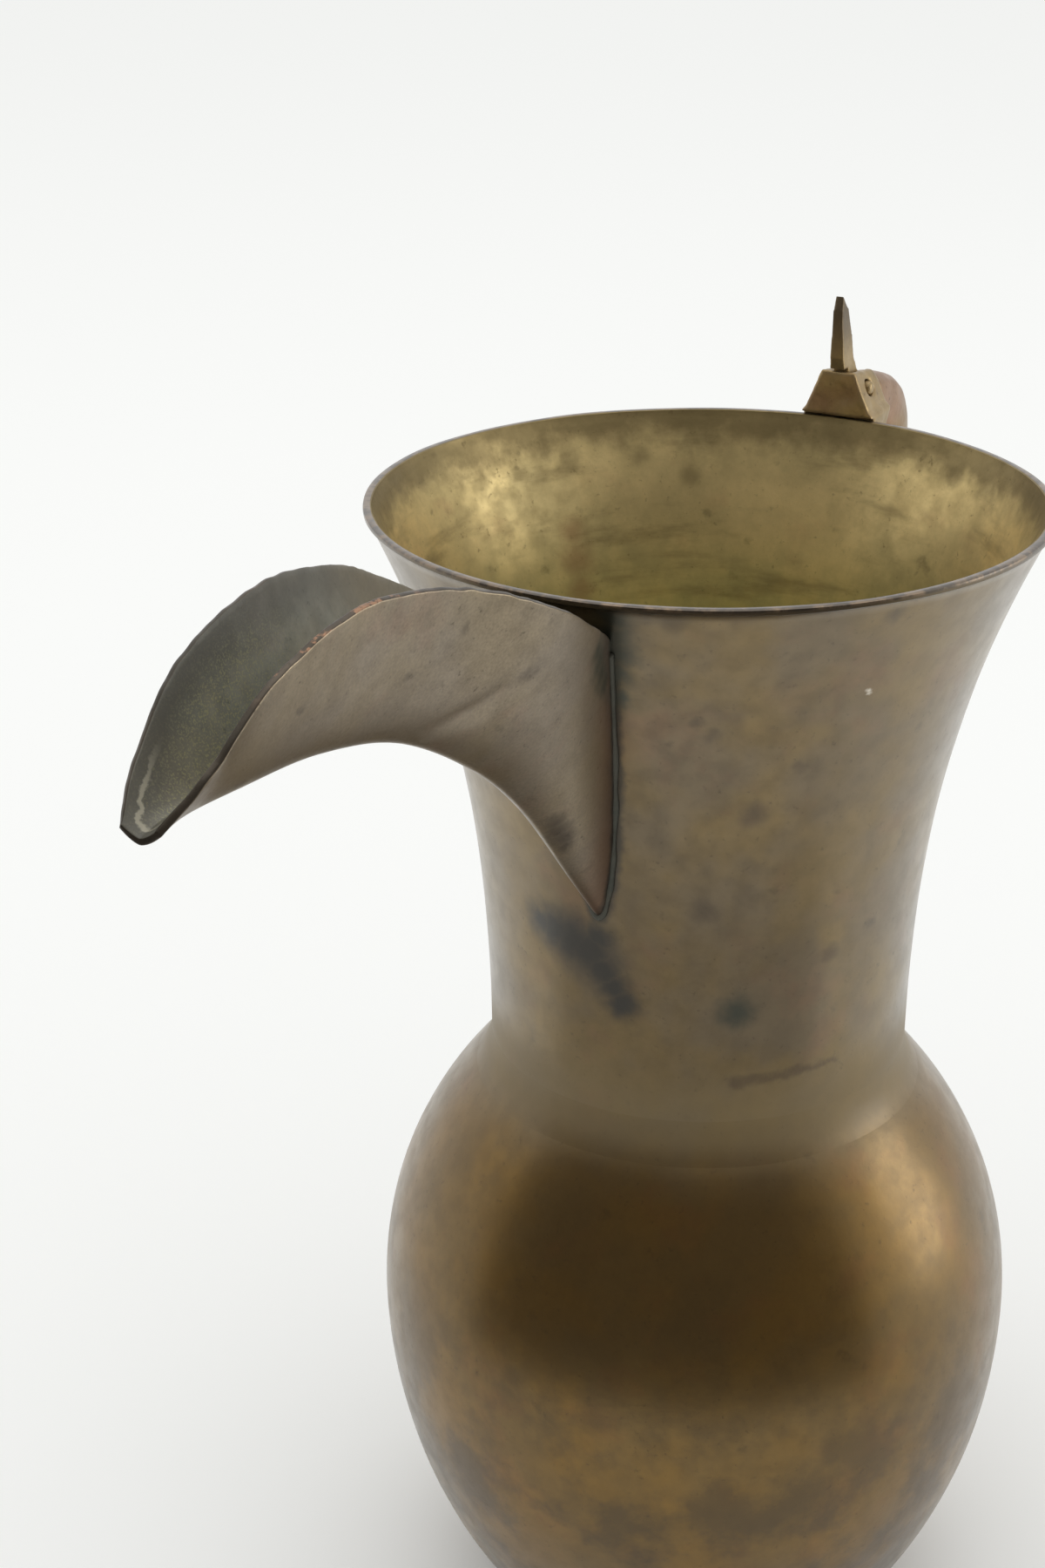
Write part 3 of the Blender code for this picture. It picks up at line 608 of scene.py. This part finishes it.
def make_outer_brass():
    """Spun brass sheet never polished: brown-grey on the neck, golden brown with dark smudges on the belly
    that grow stronger towards its bottom, dull where the waist was filed, marked by flux and solder. Painted
    shade darkens the groove along the spout's seam, where solder stains it too, and a band just under the
    rim's upset lip, where dark oxide lies too. The film of tarnish is not quite metal, so its darks stay soft
    and its reflections blurred."""
    material, tree, shader, place = finish("tarnished_spun_brass", 0.87)
    shader.inputs["Coat Roughness"].default_value = 0.3
    height = add(tree, "SeparateXYZ", (place,), 2)
    tones = ("#76674e", "#7f6b44", "#826349", "#3e3629")
    colour, rough, relief = patina(tree, place, tones, (0.4, 0.28))
    golden = add(tree, "MapRange", (height, 102 * MM, 88 * MM, 0, 0.9), **EASED)
    colour = add(tree, "Mix", {0: golden, 6: colour, 7: linear("#f6de96")}, 2, **SHADE)
    smudges = add(tree, "TexNoise", (place, 21, per(13), 5, 0.62), **SEEDED)
    smudges = add(tree, "MapRange", (smudges, 0.42, 0.62, 0, 0.85), **EASED)
    # The smudges grow stronger towards the bottom of the belly, so it is darker there
    low = add(tree, "MapRange", (height, 86 * MM, 30 * MM, 0.2, 1), **EASED)
    for part in (low, golden):
        smudges = add(tree, "Math", (smudges, part), operation="MULTIPLY")
    colour = add(tree, "Mix", {0: smudges, 6: colour, 7: linear("#4d3f29")}, 2, **COLOUR)
    below = add(tree, "MapRange", (height, 92.2 * MM, 98.2 * MM, 0, 1), **EASED)
    above = add(tree, "MapRange", (height, 111 * MM, 102 * MM, 0, 1), **EASED)
    dull = add(tree, "Math", (below, above), operation="MULTIPLY")  # where the waist was filed
    rough = add(tree, "Mix", {0: dull, 2: rough, 3: 0.64})
    tree.links.new(add(tree, "MapRange", (dull, 0, 1, 0.87, 0.6)), shader.inputs["Metallic"])
    grease = add(tree, "MapRange", (golden, 0, 0.9, 0.75, 0.48))  # the film that shines at the edges
    grease = add(tree, "Mix", {0: dull, 2: grease, 3: 0.3})
    tree.links.new(grease, shader.inputs["Coat Weight"])
    filed = add(tree, "Math", (dull, 0.5), operation="MULTIPLY")
    colour = add(tree, "Mix", {0: filed, 6: colour, 7: linear("#8a7957")}, 2, **COLOUR)
    ragged = add(tree, "TexNoise", (place, 5, per(2.5), 4, 0.6), **SEEDED)
    # Along the spout's seam: painted shade in the groove where the spout meets the neck, with solder stain in
    # it
    seam_line = add(tree, "Attribute", (), "Fac", attribute_name="near_seam")
    seam_line = add(tree, "Math", (ragged, 0.16, seam_line), operation="MULTIPLY_ADD")
    seam_line = add(tree, "MapRange", (seam_line, 0.9, 1.0, 0, 0.8), **EASED)
    colour = add(tree, "Mix", {0: seam_line, 6: colour, 7: linear("#3f3c35")}, 2, **COLOUR)
    marks = (
        (DARK_MARKS, "#443a30", 0.45), (scratch(), "#4a3c30", 0.5), (GREENISH_MARKS, "#434539", 0.95),
        (FLUX_SMEAR, "#423f38", 1.0), (PALE_NICKS, "#d8cfbf", 0.9),
    )
    colour = stained(tree, place, colour, marks)
    # Painted shade and dark oxide: a dark band just under the rim's upset lip, where the lip overhangs the
    # wall
    under = add(tree, "MapRange", (height, 184.6 * MM, 185.2 * MM, 0, 0.55), **EASED)
    colour = add(tree, "Mix", {0: under, 6: colour, 7: linear("#40372c")}, 2, **COLOUR)
    nicked = add(tree, "TexNoise", (place, 3, per(2.2), 5, 0.6), **SEEDED)
    nicked = add(tree, "MapRange", (nicked, 0.42, 0.62, 0, 1), **EASED)
    rim = add(tree, "Mix", {0: nicked, 6: linear("#4c4235"), 7: linear("#806c54")}, 2, **COLOUR)
    bare = add(tree, "MapRange", (height, 185.45 * MM, 185.8 * MM, 0, 1), **EASED)
    colour = add(tree, "Mix", {0: bare, 6: colour, 7: rim}, 2, **COLOUR)
    wear(tree, shader, colour, rough, relief, 0.016)
    return material


INNER_SMUDGES = (
    (-39.4, -21, 176.1, 1.6), (-27.5, -37.1, 179.9, 1.8), (-40.8, 23.3, 181.6, 1.4), (-36, -28.6, 179, 1.4),
)
RED_SMEAR = ((-22, -32.1, 160, 2.2), (-23, -33.5, 164.7, 2.6), (-23.7, -34.6, 169, 2.0))


def make_inner_brass():
    """Inside of the vessel, less tarnished: straw and olive smudges, a little brighter than the outside."""
    material, tree, shader, place = finish("olive_inner_brass", 0.82)
    tones = ("#bfac79", "#dbc48a", "#bf9f72", "#685b3e")
    colour, rough, relief = patina(tree, place, tones, (0.52, 0.38), (0.82, 1.08), 0.45, 0.55)
    height = add(tree, "SeparateXYZ", (place,), 2)
    deep = add(tree, "MapRange", (height, 176 * MM, 140 * MM, 0, 0.75), **EASED)
    colour = add(tree, "Mix", {0: deep, 6: colour, 7: linear("#8f9a5e")}, 2, **COLOUR)
    ragged = add(tree, "TexNoise", (place, 5, per(6), 5, 0.6), **SEEDED)
    band = add(tree, "Math", (ragged, 12 * MM, height), operation="MULTIPLY_ADD")
    band = add(tree, "MapRange", (band, 184.5 * MM, 190.5 * MM, 0, 0.75), **EASED)
    colour = add(tree, "Mix", {0: band, 6: colour, 7: linear("#665839")}, 2, **COLOUR)
    flat = add(tree, "VectorMath", (place, (1, 1, 5)), operation="MULTIPLY")
    streaks = add(tree, "TexNoise", (flat, 7, per(22), 5, 0.6), **SEEDED)
    streaks = add(tree, "MapRange", (streaks, 0.5, 0.7, 0, 0.5), **EASED)
    colour = add(tree, "Mix", {0: streaks, 6: colour, 7: linear("#6b5d3c")}, 2, **COLOUR)
    marks = ((INNER_SMUDGES, "#655839", 0.45), (RED_SMEAR, "#8d6a48", 0.5))
    colour = stained(tree, place, colour, marks)
    wear(tree, shader, colour, rough, relief, 0.02)
    return material


SPOUT_MARKS = (
    (115.8, 4.2, 193.9, 0.6), (116.6, 4.2, 194.2, 0.5), (94.8, 5.1, 191, 0.8), (93.6, 5.2, 190.6, 0.6),
    (86.3, 8.2, 194.7, 0.8), (72.6, 8.9, 184.7, 1.0), (71.4, 9, 184.2, 0.7),
)
SEAM_TOP = ((55.5, 9.4, 181.8, 1.8), (53.4, 8.8, 179.4, 2.2), (51.2, 8, 177, 2.0), (49, 7.4, 174.6, 1.5))
# A soft dark patch on the near side of the keel, out from the spout's root
KEEL_DARK_PATCH = (
    (50.4, 1.8, 153.4, 1.8), (49.2, 1.8, 151.8, 1.8), (51.8, 1.8, 155.2, 1.6), (48.2, 1.6, 150, 1.4),
)


def make_spout_brass():
    """Outside of the beak: grey-brown sheet, drier than the neck, finely pitted, redder where it was heated
    along the seam, with painted shade in the groove where the seam meets the neck, and solder stain there
    too."""
    material, tree, shader, place = finish("grey_brown_sheet_brass", 0.87)
    shader.inputs["Coat Weight"].default_value = 0.15
    shader.inputs["Coat Roughness"].default_value = 0.4
    tones = ("#877b6a", "#8b7d66", "#907764", "#4b4339")
    colour, rough, relief = patina(tree, place, tones, (0.42, 0.3), (0.91, 1.06), 0.5, 0.4, 0.5)
    grain = add(tree, "TexNoise", (place, 9, per(0.4), 2, 0.5), **SEEDED)
    grain = add(tree, "MapRange", (grain, 0.3, 0.7, 0.86, 1.1))
    colour = add(tree, "Mix", {0: 1.0, 6: colour, 7: grain}, 2, **SHADE)
    ragged = add(tree, "TexNoise", (place, 5, per(2.5), 4, 0.6), **SEEDED)
    seam_line = add(tree, "Attribute", (), "Fac", attribute_name="near_seam")
    seam_line = add(tree, "Math", (ragged, 0.16, seam_line), operation="MULTIPLY_ADD")
    heated = add(tree, "MapRange", (seam_line, 0.35, 0.98, 0, 0.75), **EASED)
    colour = add(tree, "Mix", {0: heated, 6: colour, 7: linear("#7a5f4e")}, 2, **COLOUR)
    # Painted shade in the groove along the seam, with solder stain in it
    seam_line = add(tree, "MapRange", (seam_line, 0.93, 1.03, 0, 0.85), **EASED)
    colour = add(tree, "Mix", {0: seam_line, 6: colour, 7: linear("#3f3c35")}, 2, **COLOUR)
    marks = ((SPOUT_MARKS, "#4a4036", 0.5), (KEEL_DARK_PATCH, "#4a423a", 0.75), (SEAM_TOP, "#43473e", 0.95))
    colour = stained(tree, place, colour, marks)
    wear(tree, shader, colour, rough, relief, 0.014)
    return material


def make_spout_inside():
    """Inside of the beak: grey-green film, darker along the lips, with yellow-green grains towards the tip
    and a pale crust near its edge, where liquid dried. Mostly matt, with a little metal shining through."""
    material, tree, shader, place = finish("verdigris_film_on_brass", 0.3)
    tones = ("#86867a", "#8f8977", "#8f8378", "#4b4c45")
    colour, rough, relief = patina(tree, place, tones, (0.56, 0.42), (0.8, 1.1), 0.5, 0.5)
    along = add(tree, "SeparateXYZ", (place,))
    outer = add(tree, "MapRange", (along, 60 * MM, 110 * MM, 0.25, 1), **EASED)
    ragged = add(tree, "TexNoise", (place, 14, per(1.6), 4, 0.6), **SEEDED)
    near_lip = add(tree, "Attribute", (), "Fac", attribute_name="near_lip")
    near_lip = add(tree, "Math", (ragged, 0.2, near_lip), operation="MULTIPLY_ADD")
    dark = add(tree, "MapRange", (near_lip, 0.45, 0.98, 0, 0.85), **EASED)
    dark = add(tree, "Math", (dark, outer), operation="MULTIPLY")
    colour = add(tree, "Mix", {0: dark, 6: colour, 7: linear("#535048")}, 2, **COLOUR)
    brown = add(tree, "MapRange", (along, 98 * MM, 70 * MM, 0, 0.55), **EASED)
    colour = add(tree, "Mix", {0: brown, 6: colour, 7: linear("#72664f")}, 2, **COLOUR)
    grains = add(tree, "TexNoise", (place, 12, per(0.26), 2, 0.5), **SEEDED)
    grains = add(tree, "MapRange", (grains, 0.48, 0.66, 0, 0.75), **EASED)
    low = add(tree, "MapRange", (near_lip, 1.0, 0.55, 0.1, 1), **EASED)
    dried = add(tree, "MapRange", (along, 94 * MM, 120 * MM, 0, 1), **EASED)
    for part in (low, dried):
        grains = add(tree, "Math", (grains, part), operation="MULTIPLY")
    colour = add(tree, "Mix", {0: grains, 6: colour, 7: linear("#a5a178")}, 2, **COLOUR)
    rising = add(tree, "MapRange", (near_lip, 0.9, 0.93, 0, 0.65), **EASED)
    falling = add(tree, "MapRange", (near_lip, 0.99, 0.96, 0, 1), **EASED)
    tip = add(tree, "MapRange", (along, 129 * MM, 136 * MM, 0, 1), **EASED)
    crust = add(tree, "Math", (rising, falling), operation="MULTIPLY")
    crust = add(tree, "Math", (crust, tip), operation="MULTIPLY")
    colour = add(tree, "Mix", {0: crust, 6: colour, 7: linear("#b3ad98")}, 2, **COLOUR)
    wear(tree, shader, colour, rough, relief, 0.04)
    return material


def make_lip_edge():
    """Cut edge of the beak: dark grey, rubbed bright and coppery where hands and cups touched it."""
    material, tree, shader, place = finish("rubbed_sheet_edge", 0.9)
    tones = ("#504b43", "#5c544a", "#6e5a4b", "#332e28")
    colour, rough, relief = patina(tree, place, tones, (0.46, 0.32))
    along = add(tree, "SeparateXYZ", (place,))
    worn = add(tree, "TexNoise", (place, 21, per(1.8), 5, 0.65), **SEEDED)
    worn = add(tree, "MapRange", (worn, 0.52, 0.62, 0, 0.7), **EASED)
    near = add(tree, "MapRange", (along.node.outputs[1], 2 * MM, 5 * MM, 0, 1), **EASED)
    start = add(tree, "MapRange", (along, 93 * MM, 104 * MM, 0, 1), **EASED)
    end = add(tree, "MapRange", (along, 128 * MM, 117 * MM, 0, 1), **EASED)
    for part in (near, start, end):
        worn = add(tree, "Math", (worn, part), operation="MULTIPLY")
    colour = add(tree, "Mix", {0: worn, 6: colour, 7: linear("#bb8f70")}, 2, **COLOUR)
    wear(tree, shader, colour, rough, relief, 0.04)
    return material


# Painted highlight: a pale spot that stands for a glint on the lug's front
PAINTED_GLINT_SPOT = ((-46, 4.2, 188.8, 1.3),)  # on the lug's front


def make_cast_brass():
    """Rough casting of the lug and lever: yellow-brown, with red copper showing in places, a painted
    highlight on the lug's front and painted shade darkening the lever's spike towards its top.
    """
    material, tree, shader, place = finish("cast_brass", 0.75)
    tones = ("#a28e6c", "#a08a62", "#a57c62", "#55493a")
    colour, rough, relief = patina(tree, place, tones, (0.46, 0.34), (0.8, 1.1), 0.4, 0.5)
    # painted highlight: the pale glint spot on the lug's front
    colour = stained(tree, place, colour, ((PAINTED_GLINT_SPOT, "#d6c6a6", 0.8),))
    height = add(tree, "SeparateXYZ", (place,), 2)
    # Painted shade: the lever's spike grows darker towards its top
    painted_spike_shade = add(tree, "MapRange", (height, 194.5 * MM, 202.5 * MM, 0, 0.75), **EASED)
    colour = add(tree, "Mix", {0: painted_spike_shade, 6: colour, 7: linear("#4d443a")}, 2, **COLOUR)
    wear(tree, shader, colour, rough, relief, 0.05)
    return material


def make_handle_brass():
    """Cast handle of a redder alloy, rubbed smooth by the hand."""
    material, tree, shader, place = finish("coppery_cast_brass", 0.82)
    tones = ("#9a7b61", "#937b5b", "#a67a5e", "#4f3d31")
    colour, rough, relief = patina(tree, place, tones, (0.4, 0.28), (0.84, 1.08), 0.4, 0.5)
    wear(tree, shader, colour, rough, relief, 0.06)
    return material


def make_solder():
    """Soft solder gone dull: dark grey-green lumps that hardly shine."""
    material, tree, shader, place = finish("dull_tin_solder", 0.35)
    colour, rough, relief = patina(tree, place, ("#484a42", "#504e44", "#514a40", "#33332c"), (0.8, 0.65))
    wear(tree, shader, colour, rough, relief, 0.08)
    return material


outer_brass, inner_brass, spout_brass = make_outer_brass(), make_inner_brass(), make_spout_brass()
spout_inside, lip_edge, cast_brass = make_spout_inside(), make_lip_edge(), make_cast_brass()
handle_brass, solder = make_handle_brass(), make_solder()

FINISHES = (
    (neck, "neck_shell", "tarnished_brass", (outer_brass, inner_brass), "vessel"),
    (belly, "belly_shell", "tarnished_brass", (outer_brass, inner_brass), "vessel"),
    (fillet, "neck_braze_fillet", "tarnished_brass", (outer_brass,), "vessel"),
    (base, "base_plate", "tarnished_brass", (outer_brass,), "vessel"),
    (spout, "spout_beak", "spout_brass", (spout_inside, spout_brass, lip_edge), "vessel"),
    (bead, "spout_solder_bead", "solder", (solder,), "vessel"),
    (lug, "hinge_lug", "cast_brass", (cast_brass,), "vessel"),
    (lever, "thumb_lever", "cast_brass", (cast_brass,), "lever"),
    (pin, "hinge_pin", "cast_brass", (cast_brass,), "vessel"),
    (handle, "handle_bar", "handle_brass", (handle_brass,), "vessel"),
    (pad, "handle_pad", "handle_brass", (handle_brass,), "vessel"),
    (upper_rivet, "upper_pad_rivet", "handle_brass", (cast_brass,), "vessel"),
    (lower_rivet, "lower_pad_rivet", "handle_brass", (cast_brass,), "vessel"),
)
for piece, node, slot, materials, body in FINISHES:
    smooth(piece, SPOUT_SMOOTH_ANGLE if piece == spout else SMOOTH_ANGLE)
    for i, material in enumerate(materials):
        if i < len(piece.data.materials):
            piece.data.materials[i] = material
        else:
            piece.data.materials.append(material)
    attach(piece, body)
    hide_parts(node)
for piece in (neck, belly):
    for face in piece.data.polygons:
        x, y, z = face.center
        inwards = face.normal.x * x + face.normal.y * y < INWARD_LEAN * math.hypot(x, y)
        face.material_index = 1 if inwards else 0
KEPT_SOLIDS = (
    ("base_solder_ring", solder), ("upper_rivet_burr", cast_brass), ("lower_rivet_burr", cast_brass),
)
for node, material in KEPT_SOLIDS:
    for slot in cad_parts[node].material_slots:
        slot.material = material


# Studio: white table, soft grey surroundings, soft light from above, and two things that only the metal
# shows: a soft window to the right and a dark card before the vessel

CAMERA_SIDE = math.radians(24.4)  # azimuth of the camera round the vessel
FLOOR_SIZE = 24
CARD_RADIUS = 0.245
CARD_HEIGHT = 0.44
CARD_MIDDLE = 0.225  # above the table
CARD_FACETS = 120
CARD_SPAN = (-76, 60)  # degrees round from the camera
CARD_INNER = 0.79  # the card's foot runs in towards the vessel to this share of its radius
FOOT_BELOW = 0.01
SURROUNDINGS = 0.9
LIGHTS_AIM = (0, 0, 0.1)
FOCAL_LENGTH = 62.52  # in mm, from the camera fitted to the vessel's outlines

fresh()
bpy.ops.mesh.primitive_plane_add(size=FLOOR_SIZE)
floor = named("floor")
white, _, shader, _ = finish("white_table", 0)
shader.inputs["Base Color"].default_value = linear("#fcfdfb")
shader.inputs["Roughness"].default_value = 0.7
shader.inputs["Specular IOR Level"].default_value = 0  # plain paper, which mirrors no lamp
floor.data.materials.append(white)

fresh()
bpy.ops.mesh.primitive_cylinder_add(
    vertices=CARD_FACETS,
    radius=CARD_RADIUS,
    depth=CARD_HEIGHT,
    end_fill_type="NOTHING",
    location=(0, 0, CARD_MIDDLE),
)
card = named("dark_card")
bpy.ops.object.transform_apply(location=True)
bpy.ops.object.mode_set(mode="EDIT")
bpy.ops.mesh.select_all(action="DESELECT")
bpy.ops.object.mode_set(mode="OBJECT")
for face in card.data.polygons:
    turn = math.atan2(face.center.y, face.center.x) - CAMERA_SIDE
    turn = math.degrees(math.atan2(math.sin(turn), math.cos(turn)))
    face.select = not CARD_SPAN[0] < turn < CARD_SPAN[1]
bpy.ops.object.mode_set(mode="EDIT")
bpy.ops.mesh.delete(type="FACE")
bpy.ops.mesh.select_all(action="DESELECT")
bpy.ops.mesh.select_mode(type="EDGE")
bpy.ops.object.mode_set(mode="OBJECT")
for edge in card.data.edges:
    edge.select = all(card.data.vertices[i].co.z < FOOT_BELOW for i in edge.vertices)
bpy.ops.object.mode_set(mode="EDIT")
bpy.ops.mesh.extrude_region_move()
bpy.ops.transform.resize(value=(CARD_INNER, CARD_INNER, 1), center_override=(0, 0, 0))
bpy.ops.object.mode_set(mode="OBJECT")
dark, _, shader, _ = finish("dark_cloth", 0)
shader.inputs["Base Color"].default_value = linear("#6d6660")
shader.inputs["Roughness"].default_value = 1.0
card.data.materials.append(dark)
card.visible_camera = card.visible_diffuse = card.visible_shadow = card.visible_transmission = False

world = bpy.data.worlds.new("studio")
bpy.context.scene.world = world
world.use_nodes = True
world.node_tree.nodes["Background"].inputs["Color"].default_value = (SURROUNDINGS,) * 3 + (1,)


def soft_light(name, turn, rise, away, width, height, power):
    """A soft box at this angle from the camera's side and this rise, facing the vessel."""
    lamp = bpy.data.lights.new(name, "AREA")
    lamp.shape = "RECTANGLE"
    lamp.size, lamp.size_y, lamp.energy = width, height, power
    box = bpy.data.objects.new(name, lamp)
    bpy.context.scene.collection.objects.link(box)
    a, e = CAMERA_SIDE + math.radians(turn), math.radians(rise)
    out = Vector((math.cos(a) * math.cos(e), math.sin(a) * math.cos(e), math.sin(e)))
    turned_in = out.to_track_quat("Z", "Y").to_matrix().to_4x4()
    box.matrix_world = Matrix.Translation(Vector(LIGHTS_AIM) + out * away) @ turned_in
    return box


window = soft_light("window", turn=96, rise=5, away=0.9, width=0.34, height=0.7, power=2.3)
window.visible_diffuse = False  # it shines in the metal, and leaves no bright patch on the table
soft_light("overhead", turn=170, rise=76, away=1.3, width=1.0, height=1.0, power=2)

bpy.context.scene.view_settings.view_transform = "Standard"

lens = bpy.data.cameras.new("camera")
lens.lens = FOCAL_LENGTH
lens.clip_start = 0.01
camera = bpy.data.objects.new("camera", lens)
bpy.context.scene.collection.objects.link(camera)
bpy.context.scene.camera = camera
camera.matrix_world = Matrix(
    (
        (-0.47471, -0.34424, 0.81003, 0.34737),
        (0.88012, -0.17877, 0.43981, 0.15761),
        (-0.0065957, 0.92170, 0.38784, 0.30109),
        (0, 0, 0, 1),
    )
)
